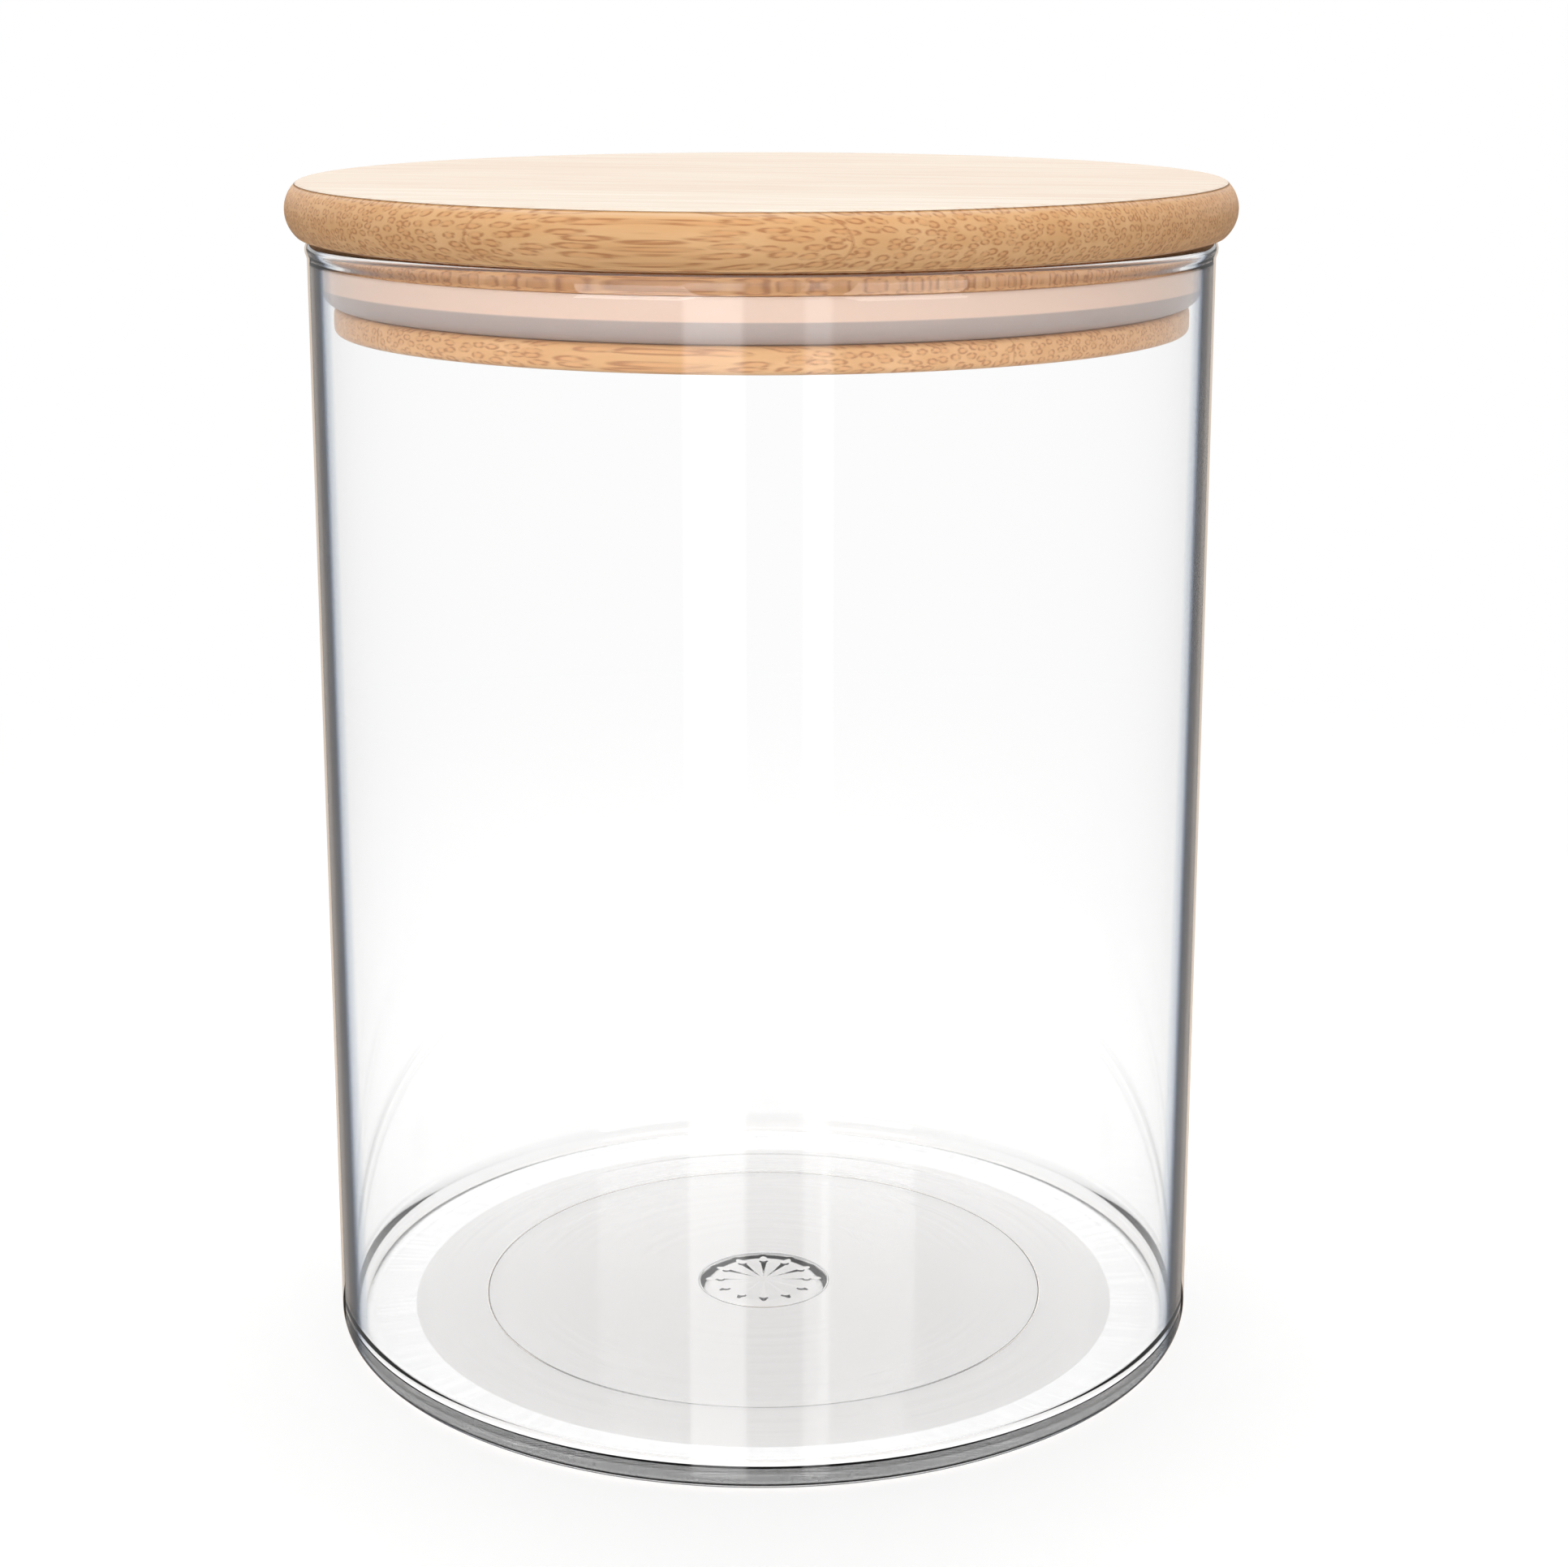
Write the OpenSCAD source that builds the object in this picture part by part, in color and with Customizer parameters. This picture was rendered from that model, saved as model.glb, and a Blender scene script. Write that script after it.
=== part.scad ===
// Storage jar for a sourdough starter: a glass jar with a push-in bamboo lid and a silicone seal.
// The jar stands on z = 0 and its axis is the z axis. Sizes are in millimetres.

/* [Glass jar] */
// Outside diameter of the glass wall
jar_d = 105; // [90:1:130]
// Height of the glass from the foot to the top of the rim
jar_h = 132.4; // [90:0.1:220]
// Thickness of the glass wall
wall_t = 1.8; // [1.4:0.1:2.6]
// Thickness of the glass floor
floor_t = 2; // [1.4:0.1:3]
// Outside rounding where the wall turns under into the foot
heel_r = 2; // [1.2:0.1:3]
// Inside rounding between the wall and the floor
corner_r = 2.6; // [1.5:0.1:4]
// Distance that the fire-polished rim bead stands out of the wall
bead_out = 0.25; // [0.1:0.05:0.8]

/* [Glass base] */
// Width of the flat ring under the jar that it stands on
foot_w = 7.5; // [5:0.5:10]
// Height by which the floor is pushed up inside the foot ring
punt_h = 0.7; // [0.4:0.05:1.5]
// Width of the sloping step round the pushed-up floor
step_w = 1.4; // [0.8:0.1:2.5]
// Diameter of the shallow dish under the middle of the floor
dish_d = 69; // [50:1:76]
// Depth of the shallow dish
dish_h = 0.25; // [0.1:0.05:0.5]
// Diameter of the moulded ring in the middle of the base
mark_ring_d = 16.2; // [12:0.2:24]
// Thickness of the bead that forms the moulded ring
mark_ring_w = 0.6; // [0.4:0.1:0.8]
// Diameter of the circle of moulded dots inside the ring
dot_circle_d = 10.8; // [6:0.2:11]
// Diameter of one moulded dot
dot_d = 1; // [0.6:0.1:1.2]
// Number of dots on the circle
dot_count = 12; // [6:1:16]

/* [Lid disc] */
// Thickness of the bamboo disc
lid_t = 6.3; // [4:0.1:12]
// Distance that the disc reaches out past the glass wall
lid_overhang = 2.4; // [1.6:0.1:5]
// Distance that the rounded side stands out past the rim of the flat faces
lid_bulge = 1.5; // [0.6:0.1:1.9]
// Height of the line of air between the rim of the glass and the disc
seat_gap = 0.3; // [0.2:0.05:0.6]

/* [Lid plug] */
// Depth of the plug below the disc
plug_h = 10.6; // [9:0.1:16]
// Radial gap between the plug and the glass
plug_gap = 1.05; // [0.6:0.05:1.6]
// Thickness of the land above the groove
upper_land_t = 2.3; // [1.6:0.1:3]
// Thickness of the land below the groove
lower_land_t = 2.4; // [1.9:0.1:3.2]
// Depth of the groove that holds the seal
groove_depth = 3.1; // [2.4:0.1:4]
// Rounding of the two outer edges of the lower land
land_r = 0.8; // [0.3:0.05:0.9]

/* [Silicone seal] */
// Radial gap between the lip of the seal and the glass
lip_gap = 0.15; // [0.1:0.01:0.3]
// Play between the seal and the faces and floor of its groove
seal_play = 0.05; // [0.02:0.01:0.15]
// Thickness of the springy lip that bears on the glass
lip_t = 1.1; // [0.8:0.05:1.3]
// Width of the slot that lets the lip give way
slot_w = 0.9; // [0.5:0.05:1.1]
// Depth of the slot
slot_depth = 3.2; // [2:0.1:3.6]
// Rounding of the lower outside edge that leads the lid into the jar
lead_in_r = 2.5; // [1.5:0.1:2.8]

/* [Hidden] */
$fn = 180;
dot_fn = 24;
overrun = 1;

jar_r = jar_d / 2;
bore_r = jar_r - wall_t;
bead_r = (wall_t + bead_out) / 2;
bead_z = jar_h - bead_r;

punt_r = jar_r - heel_r - foot_w;
dish_r = dish_d / 2;
ceiling_z = punt_h + dish_h;
mark_ring_r = mark_ring_d / 2;
dot_circle_r = dot_circle_d / 2;

lid_z = jar_h + seat_gap;
lid_r = jar_r + lid_overhang;
side_r = (pow(lid_t / 2, 2) + pow(lid_bulge, 2)) / (2 * lid_bulge);

plug_r = bore_r - plug_gap;
plug_z = lid_z - plug_h;
groove_r = plug_r - groove_depth;
groove_z = plug_z + lower_land_t;
groove_top_z = lid_z - upper_land_t;

seal_r = bore_r - lip_gap;
seal_bore_r = groove_r + seal_play;
seal_z = groove_z + seal_play;
seal_top_z = groove_top_z - seal_play;
slot_r = seal_r - lip_t;

// An upright bar of a turned section, from radius r0 to r1 and from height z0 to z1
module bar(r0, r1, z0, z1) {
    translate([r0, z0]) square([r1 - r0, z1 - z0]);
}

// Half section of a turned block with one rounded lower outside corner
module rounded_foot(r, z0, z1, corner) {
    bar(0, r, z0 + corner, z1);
    bar(0, r - corner, z0, z1);
    translate([r - corner, z0 + corner]) circle(r = corner);
}

// The sloping rise of the floor from its foot ring to its middle, raised by lift
module punt_section(lift, depth) {
    polygon([[0, lift - depth], [punt_r, lift - depth], [punt_r, lift],
             [punt_r - step_w, lift + punt_h], [0, lift + punt_h]]);
}

module glass_section() {
    difference() {
        rounded_foot(jar_r, 0, bead_z, heel_r);
        difference() {
            rounded_foot(bore_r, floor_t, jar_h + overrun, corner_r);
            punt_section(floor_t, overrun);
        }
        punt_section(0, overrun);
        bar(0, dish_r, 0, ceiling_z);
    }
    translate([bore_r + bead_r, bead_z]) circle(r = bead_r);
}

// Mould marks that stand down from the ceiling of the dish: one ring and a circle of dots
module mould_marks() {
    rotate_extrude() translate([mark_ring_r, ceiling_z]) circle(d = mark_ring_w);
    for (i = [0 : dot_count - 1])
        rotate([0, 0, 360 * i / dot_count])
            translate([dot_circle_r, 0, ceiling_z])
                sphere(d = dot_d, $fn = dot_fn);
}

module glass_jar() {
    color([0.82, 0.9, 0.92, 0.35]) {
        rotate_extrude() glass_section();
        mould_marks();
    }
}

// The disc's side is one arc, which the two flat faces cut off
module lid_disc() {
    color([0.87, 0.68, 0.45])
        translate([0, 0, lid_z])
            rotate_extrude() intersection() {
                union() {
                    bar(0, lid_r - side_r, 0, lid_t);
                    translate([lid_r - side_r, lid_t / 2]) circle(r = side_r);
                }
                bar(0, lid_r, 0, lid_t);
            }
}

module lower_land_section() {
    bar(0, plug_r - land_r, plug_z, groove_z);
    bar(0, plug_r, plug_z + land_r, groove_z - land_r);
    for (z = [plug_z + land_r, groove_z - land_r])
        translate([plug_r - land_r, z]) circle(r = land_r);
}

module lid_plug() {
    color([0.8, 0.58, 0.38])
        rotate_extrude() {
            lower_land_section();
            bar(0, groove_r, plug_z, lid_z);
            bar(0, plug_r, groove_top_z, lid_z);
        }
}

module slot_section() {
    bar(slot_r - slot_w, slot_r, seal_top_z - slot_depth + slot_w / 2, seal_top_z + overrun);
    translate([slot_r - slot_w / 2, seal_top_z - slot_depth + slot_w / 2]) circle(d = slot_w);
}

// A band that grips the groove floor, and a lip with a round top that stands up off its outside
module seal_section() {
    difference() {
        union() {
            bar(seal_bore_r, slot_r, seal_z, seal_top_z);
            bar(seal_bore_r, seal_r, seal_z + lead_in_r, seal_top_z - lip_t / 2);
            bar(seal_bore_r, seal_r - lead_in_r, seal_z, seal_top_z - lip_t / 2);
            intersection() {
                translate([seal_r - lead_in_r, seal_z + lead_in_r]) circle(r = lead_in_r);
                bar(seal_bore_r, seal_r, seal_z, seal_top_z - lip_t / 2);
            }
            translate([seal_r - lip_t / 2, seal_top_z - lip_t / 2]) circle(d = lip_t);
        }
        slot_section();
    }
}

module seal_ring() {
    color([0.86, 0.82, 0.79])
        rotate_extrude() seal_section();
}

glass_jar();
lid_disc();
lid_plug();
seal_ring();
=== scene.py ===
import math

import bmesh
import bpy
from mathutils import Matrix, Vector


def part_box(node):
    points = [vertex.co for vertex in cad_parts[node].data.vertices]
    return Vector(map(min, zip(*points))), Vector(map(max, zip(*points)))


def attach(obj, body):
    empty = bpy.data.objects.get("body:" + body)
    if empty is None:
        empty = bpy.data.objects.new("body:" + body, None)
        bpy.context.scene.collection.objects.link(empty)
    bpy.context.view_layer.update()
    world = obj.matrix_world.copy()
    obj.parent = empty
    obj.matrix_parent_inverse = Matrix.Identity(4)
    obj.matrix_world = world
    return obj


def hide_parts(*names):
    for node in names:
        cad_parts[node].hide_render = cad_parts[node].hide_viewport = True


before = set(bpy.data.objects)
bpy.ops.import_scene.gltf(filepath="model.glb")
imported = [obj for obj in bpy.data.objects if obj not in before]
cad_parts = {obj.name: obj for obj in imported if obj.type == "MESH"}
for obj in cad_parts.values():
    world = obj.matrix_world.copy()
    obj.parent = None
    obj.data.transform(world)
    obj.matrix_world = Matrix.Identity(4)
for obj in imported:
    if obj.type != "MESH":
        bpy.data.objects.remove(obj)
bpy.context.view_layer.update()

MM = 0.001

# The photograph's frame in pixels, and where the camera's axis and the jar's axis cross it
PHOTO_W, PHOTO_H = 1932, 1931
PHOTO_AXIS_Y = 800
PHOTO_JAR_X = 939

# The camera stands straight in front of the jar and looks a little down
CAMERA_BACK = 349.2 * MM
CAMERA_UP = 160.2 * MM
CAMERA_PITCH = math.radians(12.5)
FOCAL_PX = 3665.85
SENSOR_MM = 36

# Sizes of the glass that its box doesn't give
WALL = 1.55 * MM
BEAD_R = 1.025 * MM
FLOOR = 2.0 * MM
BEAD_OUT = 0.25 * MM
HEEL = 2.0 * MM
CORNER = 2.6 * MM
FOOT_W = 7.5 * MM
PUNT = 0.4 * MM
STEP_W = 8.0 * MM
DISH_R = 34.5 * MM
DISH = 0.05 * MM
MARK_RING_R = 8.1 * MM
MARK_WIRE_R = 0.14 * MM
MARK_ROWS = 0.1 * MM
DOT_CIRCLE_R = 5.4 * MM
DOT_R = 0.5 * MM
DOTS = 12
# A moulded dot is a half ball, flattened to this share of its height
DOT_FLAT = 0.3

# How far below the middle of the rim bead the wall starts and ends its swelling, and the bore opens
NECK_LOW = 1.0 * MM
NECK_HIGH = 0.3 * MM
THROAT = 1.6 * MM

# How far the corners of the glass are rounded back
PUNT_EASE = 0.45 * MM
NECK_EASE = 0.2 * MM
DISH_EASE = 0.1 * MM

# Sizes of the lid and its seal
BULGE = 1.5 * MM
UPPER_LAND = 2.3 * MM
LOWER_LAND = 3.0 * MM
GROOVE = 3.1 * MM
LAND_R = 0.8 * MM
EDGE_R = 0.35 * MM
GROOVE_EDGE_R = 0.2 * MM
LIP = 1.1 * MM
SLOT_W = 0.9 * MM
SLOT_DEPTH = 3.2 * MM
LEAD_IN = 2.5 * MM
LIP_GAP = 0.03 * MM

# The bamboo's fibres run across the view, turned a little from the x axis
GRAIN_TURN = math.radians(12)
STRIP_W = 22
BUNDLE_PITCH = 0.86

ROOM_LIGHT = 0.3
SOFT_BOX = 3.0
LAMP_SIZE = 0.8

TURN_STEPS = 256
GLASS_IOR = 1.47

jar_high = Vector(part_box("glass_jar")[1])
disc_low, disc_high = (Vector(corner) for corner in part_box("lid_disc"))
plug_low, plug_high = (Vector(corner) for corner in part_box("lid_plug"))
seal_high = Vector(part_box("seal_ring")[1])
RIM_Z = jar_high.z
JAR_R = jar_high.x - BEAD_OUT
BORE_R = JAR_R - WALL
CEILING = PUNT + DISH
PUNT_R = JAR_R - HEEL - FOOT_W
LAND_TOP = plug_low.z + LOWER_LAND


# Turned shapes

def arc(centre, radius, start, end, count=8):
    """Points of (radius, height) on an arc, with its angles in degrees from the outward direction."""
    turns = [math.radians(start + (end - start) * i / count) for i in range(count + 1)]
    return [(centre[0] + radius * math.cos(a), centre[1] + radius * math.sin(a)) for a in turns]


def spin(outline, closed):
    """Turns an outline of (radius, height) points once round the z axis into a closed shell."""
    bm = bmesh.new()
    verts = [bm.verts.new((r, 0, z)) for r, z in outline]
    pairs = list(zip(verts, verts[1:])) + ([(verts[-1], verts[0])] if closed else [])
    edges = [bm.edges.new(pair) for pair in pairs]
    bmesh.ops.spin(bm, geom=verts + edges, cent=(0, 0, 0), axis=(0, 0, 1),
                   angle=math.tau, steps=TURN_STEPS, use_merge=True)
    bmesh.ops.remove_doubles(bm, verts=bm.verts, dist=0.001 * MM)
    bmesh.ops.recalc_face_normals(bm, faces=bm.faces)
    return bm


def ease(bm, corner, by, segments=3):
    """Rounds the ring of edges that an outline's corner left."""
    def near(vert):
        return math.hypot(math.hypot(vert.co.x, vert.co.y) - corner[0], vert.co.z - corner[1]) < 0.01 * MM
    ring = [edge for edge in bm.edges if near(edge.verts[0]) and near(edge.verts[1])]
    bmesh.ops.bevel(bm, geom=ring, offset=by, offset_type="OFFSET", segments=segments,
                    profile=0.5, affect="EDGES", material=-1)


def piece(name, bm, body, slot, finish, *replaced):
    """Makes a mesh into a finished piece that rides on its body and stands for CAD nodes."""
    mesh = bpy.data.meshes.new(name)
    bm.to_mesh(mesh)
    bm.free()
    mesh.shade_smooth()
    made = bpy.data.objects.new(name, mesh)
    bpy.context.scene.collection.objects.link(made)
    made.data.materials.append(finish)
    flats = made.modifiers.new("flat faces lead", "WEIGHTED_NORMAL")
    flats.keep_sharp = True
    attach(made, body)
    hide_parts(*replaced)
    return made


# Shader maths

class Value:
    """One number that varies over a surface. Arithmetic on it adds Math nodes."""

    def __init__(self, shader, socket):
        self.shader = shader
        self.socket = socket

    def maths(self, operation, first, second=None):
        inputs = {0: first} if second is None else {0: first, 1: second}
        return self.shader.node("ShaderNodeMath", {"operation": operation}, inputs).value()

    def __add__(self, other):
        return self.maths("ADD", self, other)

    def __sub__(self, other):
        return self.maths("SUBTRACT", self, other)

    def __mul__(self, other):
        return self.maths("MULTIPLY", self, other)

    def __truediv__(self, other):
        return self.maths("DIVIDE", self, other)

    def __radd__(self, other):
        return self.maths("ADD", other, self)

    def __rsub__(self, other):
        return self.maths("SUBTRACT", other, self)

    def __rmul__(self, other):
        return self.maths("MULTIPLY", other, self)

    def over(self, limit):
        return self.maths("GREATER_THAN", self, limit)

    def most(self, other):
        return self.maths("MAXIMUM", self, other)

    def least(self, other):
        return self.maths("MINIMUM", self, other)

    def step(self, low, high, at_low=0.0, at_high=1.0):
        """A smooth step from at_low to at_high while this value goes from low to high."""
        settings = {"interpolation_type": "SMOOTHSTEP"}
        inputs = {"Value": self, "From Min": low, "From Max": high, "To Min": at_low, "To Max": at_high}
        return self.shader.node("ShaderNodeMapRange", settings, inputs).value("Result")


class Node:
    """A shader node whose outputs are asked for by name."""

    def __init__(self, shader, node):
        self.shader = shader
        self.node = node

    def out(self, name=0):
        return self.node.outputs[name]

    def value(self, name=0):
        return Value(self.shader, self.node.outputs[name])


class Shader:
    """The node tree of a material or a world."""

    def __init__(self, owner):
        owner.use_nodes = True
        self.tree = owner.node_tree
        self.tree.nodes.clear()

    def node(self, kind, settings=None, inputs=None):
        made = self.tree.nodes.new(kind)
        for key, setting in (settings or {}).items():
            if key == "stops":
                self.set_stops(made.color_ramp, setting)
            else:
                setattr(made, key, setting)
        for key, given in (inputs or {}).items():
            if isinstance(given, Value):
                given = given.socket
            if isinstance(given, bpy.types.NodeSocket):
                self.tree.links.new(given, made.inputs[key])
            else:
                made.inputs[key].default_value = given
        return Node(self, made)

    def set_stops(self, ramp, stops):
        while len(ramp.elements) < len(stops):
            ramp.elements.new(1.0)
        for element, (place, colour) in zip(ramp.elements, stops):
            element.position = place
            element.color = (*colour, 1.0)

    def ramp(self, value, *stops):
        return self.node("ShaderNodeValToRGB", {"stops": stops}, {"Fac": value}).out("Color")

    def mix(self, amount, first, second, blend="MIX"):
        """Mixes two colours; amount is a number or a varying value."""
        settings = {"data_type": "RGBA", "blend_type": blend}
        return self.node("ShaderNodeMix", settings, {0: amount, 6: first, 7: second}).out(2)

    def end(self, surface, kind="ShaderNodeOutputMaterial"):
        self.node(kind, None, {"Surface": surface})


def material(name):
    made = bpy.data.materials.new(name)
    return made, Shader(made)


def srgb(red, green, blue):
    """A colour that is written as it shows on a screen, 0 to 255, in the renderer's linear light."""
    def linear(level):
        level /= 255
        return level / 12.92 if level <= 0.04045 else ((level + 0.055) / 1.055) ** 2.4
    return tuple(linear(level) for level in (red, green, blue))


def rgba(colour):
    return (*colour, 1.0)


# Clear glass

def glass_finish():
    """Clear glass with painted shade where its wall is seen edge on: it goes dark, then a painted cream
    fringe at the very edge.
    """
    made, shader = material("clear_glass")
    place = shader.node("ShaderNodeTexCoord").out("Object")
    height = shader.node("ShaderNodeSeparateXYZ", None, {0: place}).value("Z")
    flat = shader.node("ShaderNodeVectorMath", {"operation": "MULTIPLY"}, {0: place, 1: (1, 1, 0)}).out()
    radius = shader.node("ShaderNodeVectorMath", {"operation": "LENGTH"}, {0: flat}).value("Value")

    slant = 1.0 - shader.node("ShaderNodeLayerWeight", None, {"Blend": 0.5}).value("Facing")
    # Painted shade: this ramp darkens the wall where it is seen edge on, in place of the dark room it
    # would refract, then turns cream.
    painted_edge_shade = shader.ramp(
        slant / 0.4,
        (0.20, (0.60, 0.52, 0.44)),
        (0.32, (0.26, 0.20, 0.16)),
        (0.43, (0.035, 0.028, 0.024)),
        (0.52, (0.015, 0.015, 0.017)),
        (0.57, (0.014, 0.018, 0.026)),
        (0.61, (0.10, 0.13, 0.19)),
        (0.66, (0.46, 0.52, 0.62)),
        (0.73, (0.72, 0.78, 0.84)),
        (0.78, (1, 1, 1)),
    )
    outside = radius.step(BORE_R + WALL * 0.4, BORE_R + WALL * 0.7)
    colour = shader.mix(outside, rgba((1, 1, 1)), painted_edge_shade)

    rings = shader.node("ShaderNodeTexNoise", {"noise_dimensions": "1D"},
                        {"W": radius / MM, "Scale": 0.45, "Detail": 2.0}).value("Fac")
    low = height.step(3.5 * MM, 4.5 * MM, 1.0, 0.0)
    bump = shader.node("ShaderNodeBump", None,
                       {"Strength": 0.5, "Distance": 0.06 * MM, "Height": rings * low}).out()
    surface = shader.node("ShaderNodeBsdfPrincipled", None, {
        "Base Color": colour, "Roughness": 0.0, "IOR": GLASS_IOR,
        "Transmission Weight": 1.0, "Normal": bump}).out()
    # Painted light: the outermost edge of the wall becomes a cream see-through fringe, a painted halo.
    painted_edge_fringe = shader.node("ShaderNodeBsdfTransparent", None, {"Color": rgba((0.82, 0.76, 0.70))}).out()
    edged = shader.node("ShaderNodeMixShader", None, {
        0: slant.step(0.085, 0.12, 1.0, 0.0) * outside, 1: surface, 2: painted_edge_fringe}).out()
    shade = shader.node("ShaderNodeBsdfTransparent", None, {"Color": rgba((0.9, 0.9, 0.9))}).out()
    shaded = shader.node("ShaderNodeLightPath").value("Is Shadow Ray")
    shader.end(shader.node("ShaderNodeMixShader", None, {0: shaded, 1: edged, 2: shade}).out())
    return made


def glass_outline():
    """From the middle of the underside, out round the foot, up the wall, over the rim and back in."""
    bead = (JAR_R + BEAD_OUT - BEAD_R, RIM_Z - BEAD_R)
    rows = round(2 * DOT_R / MARK_ROWS)
    dot_rows = [(DOT_CIRCLE_R - DOT_R + MARK_ROWS * i, CEILING) for i in range(rows + 1)]
    wire = arc((MARK_RING_R, CEILING), MARK_WIRE_R, 180, 360, 6)
    under = [(0, CEILING)] + dot_rows + wire + [
        (DISH_R, CEILING), (DISH_R + DISH, PUNT), (PUNT_R - STEP_W, PUNT), (PUNT_R, 0)]
    heel = arc((JAR_R - HEEL, HEEL), HEEL, -90, 0, 12)
    neck = [(JAR_R, bead[1] - NECK_LOW), (JAR_R + BEAD_OUT, bead[1] - NECK_HIGH)]
    rim = arc(bead, BEAD_R, 0, 180, 16)
    throat = [(BORE_R, bead[1] - THROAT)]
    corner = arc((BORE_R - CORNER, FLOOR + CORNER), CORNER, 0, -90, 12)
    floor = [(PUNT_R, FLOOR), (PUNT_R - STEP_W, FLOOR + PUNT), (0, FLOOR + PUNT)]
    return under + heel + neck + rim + throat + corner + floor


def raise_dots(bm):
    """Pulls the circle of small round dots down out of the ceiling of the dish."""
    for vert in bm.verts:
        if abs(vert.co.z - CEILING) > 0.01 * MM:
            continue
        turn = round(math.atan2(vert.co.y, vert.co.x) * DOTS / math.tau) * math.tau / DOTS
        dot = Vector((DOT_CIRCLE_R * math.cos(turn), DOT_CIRCLE_R * math.sin(turn), CEILING))
        rise = DOT_R ** 2 - (vert.co - dot).length_squared
        if rise > 0:
            vert.co.z -= math.sqrt(rise) * DOT_FLAT


def make_glass():
    bm = spin(glass_outline(), closed=False)
    for corner in ((PUNT_R - STEP_W, PUNT), (PUNT_R, 0), (PUNT_R, FLOOR), (PUNT_R - STEP_W, FLOOR + PUNT)):
        ease(bm, corner, PUNT_EASE, 4)
    bead_z = RIM_Z - BEAD_R
    for corner in ((JAR_R, bead_z - NECK_LOW), (JAR_R + BEAD_OUT, bead_z - NECK_HIGH),
                   (BORE_R, bead_z - THROAT)):
        ease(bm, corner, NECK_EASE, 3)
    for corner in ((DISH_R, CEILING), (DISH_R + DISH, PUNT)):
        ease(bm, corner, DISH_EASE, 2)
    raise_dots(bm)
    return piece("clear_jar", bm, "jar", "clear_glass", glass_finish(), "glass_jar")


# Bamboo

def grain_axes(shader, seed):
    """Distances in mm along the fibres, across the strips and up, moved on by seed for each piece."""
    place = shader.node("ShaderNodeTexCoord").out("Object")
    turned = shader.node("ShaderNodeMapping", None, {
        "Vector": place,
        "Rotation": (0, 0, GRAIN_TURN),
        "Location": (seed * 0.13, seed * 0.0071, seed * 0.0023)}).out()
    parts = shader.node("ShaderNodeSeparateXYZ", None, {0: turned})
    return tuple(parts.value(axis) / MM for axis in "XYZ")


def grain_noise(shader, grain, per_length, per_width, detail):
    """Noise that is drawn out along the fibres."""
    along, across, up = grain
    point = shader.node("ShaderNodeCombineXYZ", None, {
        0: along * per_length, 1: across * per_width, 2: up * per_width}).out()
    return shader.node("ShaderNodeTexNoise", None, {"Vector": point, "Scale": 1.0, "Detail": detail})


def fibre_bundles(shader, grain, tone):
    """The cut bundles of fibres: a broken dark ring round a warmer core."""
    across, up = grain[1:]
    wander = grain_noise(shader, grain, 0.02, 0.25, 1.0)
    shift = shader.node("ShaderNodeSeparateXYZ", None, {0: wander.out("Color")})
    cell = shader.node("ShaderNodeCombineXYZ", None, {
        0: across / BUNDLE_PITCH + shift.value("X") * 0.9 + tone * 37.0,
        1: up / BUNDLE_PITCH + shift.value("Y") * 0.9}).out()
    distance = shader.node("ShaderNodeTexVoronoi", {"feature": "F1", "voronoi_dimensions": "2D"}, {
        "Vector": cell, "Scale": 1.0, "Randomness": 0.6}).value("Distance")
    speck = grain_noise(shader, grain, 0.15, 3.2, 1.0).value("Fac")
    ring = distance.step(0.12, 0.30) * distance.step(0.34, 0.50, 1.0, 0.0)
    ring = ring * speck.step(0.38, 0.62, 0.25, 1.0)
    core = distance.step(0.15, 0.35, 1.0, 0.0)
    return ring, core


def bamboo_finish(name, seed, ground, dark, top=None):
    """Strips of bamboo side by side, with bundles of fibres that run along them through the wood."""
    made, shader = material(name)
    grain = grain_axes(shader, seed)
    across = grain[1]
    strip = shader.node("ShaderNodeMath", {"operation": "FLOOR"}, {0: across / STRIP_W}).value()
    tone = shader.node("ShaderNodeTexWhiteNoise", {"noise_dimensions": "1D"}, {
        "W": strip + 0.5}).value("Value")
    ring, core = fibre_bundles(shader, grain, tone)
    cloud = grain_noise(shader, grain, 0.05, 0.5, 3.0).value("Fac")
    fine = grain_noise(shader, grain, 0.4, 9.0, 2.0).value("Fac")

    wood = shader.mix(cloud.step(0.3, 0.7), rgba(ground[0]), rgba(ground[1]))
    wood = shader.mix(tone * 0.35, wood, rgba(ground[2]))
    wood = shader.mix(core * 0.35, wood, rgba(dark[0]))
    wood = shader.mix(ring * 0.75, wood, rgba(dark[1]))
    wood = shader.mix(fine.step(0.35, 0.75) * 0.18, wood, rgba(dark[0]))
    seam = shader.node("ShaderNodeMath", {"operation": "PINGPONG"}, {0: across, 1: STRIP_W / 2}).value()
    wood = shader.mix(seam.step(0.03, 0.10, 0.35, 0.0), wood, rgba(dark[1]))

    # Painted light: faces turned up take the paler top colours, partly sanded wood and partly painted top
    # light and sheen.
    if top:
        facing_up = shader.node("ShaderNodeSeparateXYZ", None, {
            0: shader.node("ShaderNodeNewGeometry").out("Normal")}).value("Z")
        streak = (ring * 0.5 + cloud.step(0.35, 0.75) * 0.5 + tone * 0.4).least(1.0)
        pale = shader.mix(streak, rgba(top[0]), rgba(top[1]))
        wood = shader.mix(facing_up.step(0.55, 0.92), wood, pale)

    bump = shader.node("ShaderNodeBump", None, {
        "Strength": 0.35, "Distance": 0.05 * MM, "Height": fine * 0.5 - ring}).out()
    shader.end(shader.node("ShaderNodeBsdfPrincipled", None, {
        "Base Color": wood, "Roughness": 0.48 - cloud * 0.08, "IOR": 1.45, "Normal": bump}).out())
    return made


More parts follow.
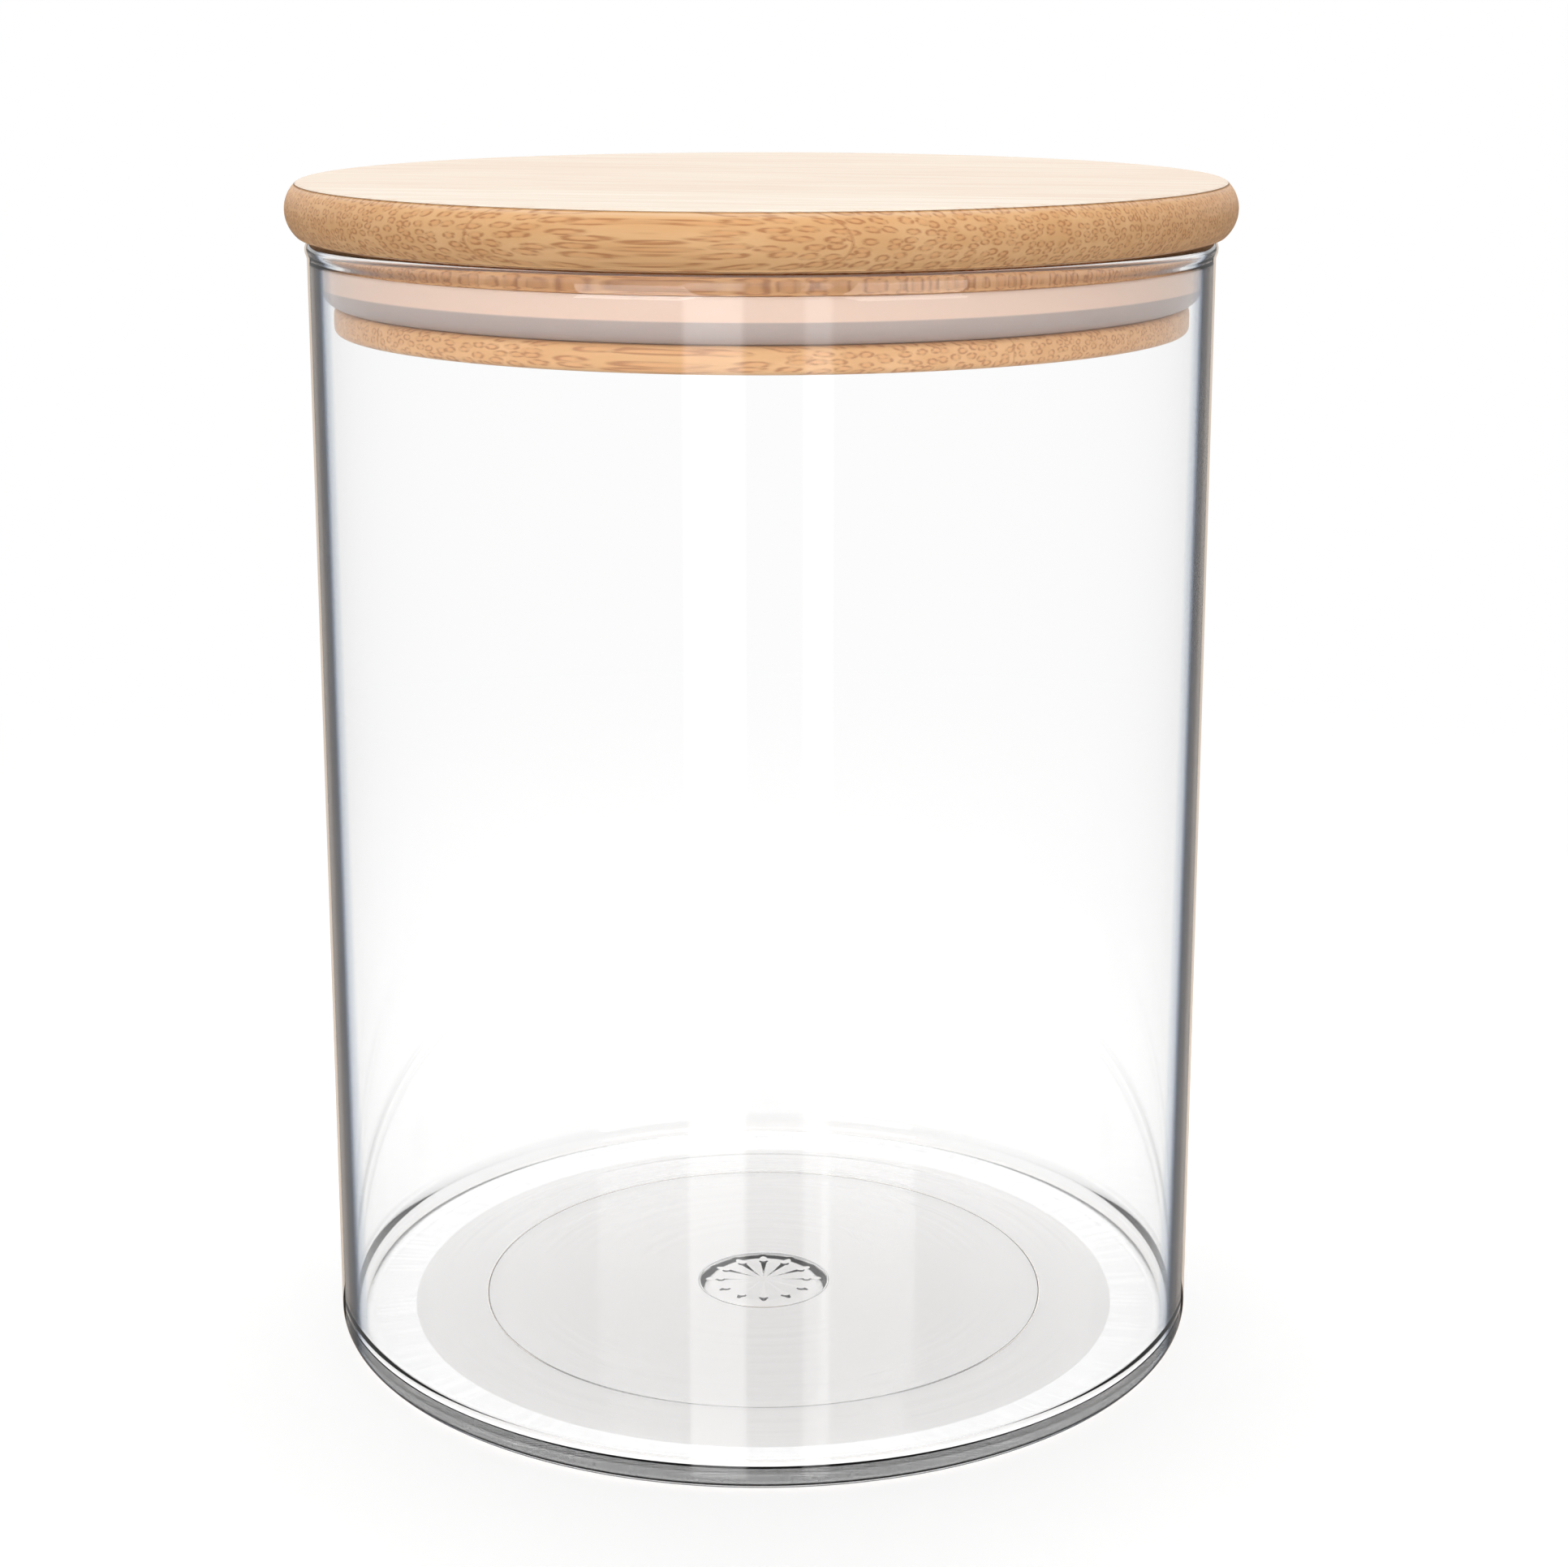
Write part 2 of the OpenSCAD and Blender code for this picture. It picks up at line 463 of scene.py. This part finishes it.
# Ground and fibre colours of the sawn side, and the paler colours of the top face, partly sanded wood and
# partly painted top light and sheen
SAWN = (srgb(236, 190, 138), srgb(226, 176, 122), srgb(218, 164, 112))
FIBRE = (srgb(222, 158, 104), srgb(170, 108, 64))
SANDED_TOP_WITH_PAINTED_LIGHT = (srgb(250, 240, 224), srgb(236, 212, 190))


def make_disc():
    """The lid's cover: two flat faces and a side that is one shallow arc."""
    half = (disc_high.z - disc_low.z) / 2
    side_r = (half ** 2 + BULGE ** 2) / (2 * BULGE)
    reach = math.degrees(math.asin(half / side_r))
    side = arc((disc_high.x - side_r, disc_low.z + half), side_r, -reach, reach, 24)
    bm = spin([(0, disc_low.z)] + side + [(0, disc_high.z)], closed=False)
    ease(bm, side[-1], EDGE_R, 4)
    ease(bm, side[0], EDGE_R, 4)
    finish = bamboo_finish("bamboo_cover", 1.0, SAWN, FIBRE, SANDED_TOP_WITH_PAINTED_LIGHT)
    return piece("bamboo_cover", bm, "lid", "bamboo", finish, "lid_disc")


def make_plug():
    """The plug: a lower land with round edges, the groove, and the upper land under the cover."""
    groove_r = plug_high.x - GROOVE
    upper = plug_high.z - UPPER_LAND
    outline = [(0, plug_low.z)]
    outline += arc((plug_high.x - LAND_R, plug_low.z + LAND_R), LAND_R, -90, 0, 6)
    outline += arc((plug_high.x - LAND_R, LAND_TOP - LAND_R), LAND_R, 0, 90, 6)
    outline += [(groove_r, LAND_TOP), (groove_r, upper), (plug_high.x, upper),
                (plug_high.x, plug_high.z), (0, plug_high.z)]
    bm = spin(outline, closed=False)
    ease(bm, (plug_high.x, upper), GROOVE_EDGE_R, 2)
    finish = bamboo_finish("bamboo_plug", 2.0, SAWN, FIBRE)
    return piece("bamboo_plug", bm, "lid", "bamboo", finish, "lid_plug")


# Silicone

def silicone_finish():
    """Frosted silicone, warm where it is pressed to the glass, and greyer below with painted shade on its
    underside.
    """
    made, shader = material("frosted_silicone")
    place = shader.node("ShaderNodeTexCoord").out("Object")
    height = shader.node("ShaderNodeSeparateXYZ", None, {0: place}).value("Z")
    crease = LAND_TOP + LEAD_IN
    pressed_band_over_painted_shade = height.step(crease - 0.1 * MM, crease + 0.15 * MM)
    # Painted shade: below the crease the silicone takes a greyer colour for the shade on its underside.
    colour = shader.mix(pressed_band_over_painted_shade, rgba(srgb(182, 166, 160)), rgba(srgb(236, 204, 186)))
    cloud = shader.node("ShaderNodeTexNoise", None, {
        "Vector": place, "Scale": 250.0, "Detail": 3.0}).value("Fac")
    bump = shader.node("ShaderNodeBump", None, {
        "Strength": 0.2, "Distance": 0.05 * MM, "Height": cloud}).out()
    shader.end(shader.node("ShaderNodeBsdfPrincipled", None, {
        "Base Color": colour, "Roughness": 0.45, "IOR": 1.42, "Subsurface Weight": 0.3,
        "Subsurface Radius": (0.004, 0.003, 0.0025), "Subsurface Scale": 1.0, "Normal": bump}).out())
    return made


def make_seal():
    """The ring in its groove: a band round the plug and a springy lip that bears on the glass."""
    bore = plug_high.x - GROOVE
    outer = BORE_R - LIP_GAP
    low, high = LAND_TOP, seal_high.z
    slot_out = outer - LIP
    slot = (slot_out - SLOT_W / 2, high - SLOT_DEPTH + SLOT_W / 2)
    outline = [(bore, low)]
    outline += arc((outer - LEAD_IN, low + LEAD_IN), LEAD_IN, -90, 0, 16)
    outline += arc((outer - LIP / 2, high - LIP / 2), LIP / 2, 0, 180, 10)
    outline += arc(slot, SLOT_W / 2, 0, -180, 6)
    outline += [(slot_out - SLOT_W, high), (bore, high)]
    bm = spin(outline, closed=True)
    return piece("silicone_seal", bm, "lid", "silicone", silicone_finish(), "seal_ring")


# Studio

def floor_finish():
    """Pale table: near white to the eye, but still shaded by what stands on it."""
    made, shader = material("pale_table")
    place = shader.node("ShaderNodeTexCoord").out("Object")
    reach = shader.node("ShaderNodeVectorMath", {"operation": "LENGTH"}, {0: place}).value("Value")
    light_path = shader.node("ShaderNodeLightPath")
    seen = light_path.value("Is Camera Ray").most(light_path.value("Is Transmission Ray"))
    seen = seen.most(light_path.value("Is Glossy Ray"))
    pale = shader.node("ShaderNodeBsdfDiffuse", None, {"Color": rgba((0.65, 0.65, 0.65))}).out()
    glow = shader.node("ShaderNodeEmission", None, {"Color": rgba((1, 1, 1)), "Strength": 0.48}).out()
    near = shader.node("ShaderNodeAddShader", None, {0: pale, 1: glow}).out()
    white = shader.node("ShaderNodeEmission", None, {"Color": rgba((1, 1, 1)), "Strength": 1.0}).out()
    fading = shader.node("ShaderNodeMixShader", None, {
        0: reach.step(0.10, 0.35), 1: near, 2: white}).out()
    shader.end(shader.node("ShaderNodeMixShader", None, {0: seen, 1: pale, 2: fading}).out())
    return made


def make_floor():
    bm = bmesh.new()
    bmesh.ops.create_circle(bm, cap_ends=True, radius=3.0, segments=96)
    mesh = bpy.data.meshes.new("table")
    bm.to_mesh(mesh)
    bm.free()
    table = bpy.data.objects.new("table", mesh)
    table.data.materials.append(floor_finish())
    table.visible_glossy = False
    bpy.context.scene.collection.objects.link(table)


def between(value, low, high, soft):
    """One from low to high, and nought outside, with soft ends."""
    return value.step(low - soft, low + soft) * value.step(high - soft, high + soft, 1.0, 0.0)


def make_world():
    """White behind everything. Smooth faces mirror white above, a dim floor and two tall soft boxes."""
    world = bpy.data.worlds.new("studio")
    bpy.context.scene.world = world
    shader = Shader(world)
    toward = shader.node("ShaderNodeTexCoord").out("Generated")
    parts = shader.node("ShaderNodeSeparateXYZ", None, {0: toward})
    lift = parts.value("Z")
    ahead = 0.0 - parts.value("Y")
    aside = parts.value("X") / ahead.most(0.01)
    light_path = shader.node("ShaderNodeLightPath")
    seen = light_path.value("Is Camera Ray")
    through = light_path.value("Is Transmission Ray")
    mirrored = light_path.value("Is Glossy Ray") * (1.0 - through)
    plain = 1.0 - seen - through - mirrored

    boxes = between(aside, -0.34, -0.08, 0.02) + between(aside, 0.18, 0.30, 0.02) * 0.7
    boxes = boxes * ahead.over(0.1) * between(lift, -0.6, 0.5, 0.1)
    mirror = boxes * SOFT_BOX + lift.step(0.0, 0.06) * 0.75 + lift.step(0.6, 0.8) * 0.45 + 0.25
    level = seen + through * lift.step(0.10, 0.55, 1.0, 0.3) + mirrored * mirror + plain * ROOM_LIGHT
    shader.end(shader.node("ShaderNodeBackground", None, {
        "Color": rgba((1, 1, 1)), "Strength": level}).out(), "ShaderNodeOutputWorld")


def lamp(name, place, power):
    light = bpy.data.lights.new(name, "AREA")
    light.shape = "SQUARE"
    light.size = LAMP_SIZE
    light.energy = power
    holder = bpy.data.objects.new(name, light)
    holder.location = place
    toward = Vector((0, 0, RIM_Z / 2)) - Vector(place)
    holder.rotation_euler = toward.to_track_quat("-Z", "Y").to_euler()
    holder.visible_glossy = False
    bpy.context.scene.collection.objects.link(holder)


def make_lamps():
    lamp("key", (-0.8, -1.25, 0.75), 9)
    lamp("fill", (0.9, -1.2, 0.6), 6)
    lamp("top", (0, 0.15, 1.3), 8)


def make_camera():
    camera = bpy.data.cameras.new("camera")
    camera.sensor_width = SENSOR_MM
    camera.lens = FOCAL_PX * SENSOR_MM / PHOTO_W
    camera.shift_y = (PHOTO_AXIS_Y - PHOTO_H / 2) / PHOTO_W
    camera.clip_start = 0.01
    camera.dof.use_dof = False
    holder = bpy.data.objects.new("camera", camera)
    holder.location = (0, -CAMERA_BACK, CAMERA_UP)
    aside = math.atan((PHOTO_W / 2 - PHOTO_JAR_X) / FOCAL_PX)
    holder.rotation_euler = (math.pi / 2 - CAMERA_PITCH, 0, -aside)
    bpy.context.scene.collection.objects.link(holder)
    bpy.context.scene.camera = holder


bpy.context.scene.view_settings.view_transform = "Standard"
make_camera()
make_world()
make_floor()
make_lamps()
make_glass()
make_disc()
make_plug()
make_seal()
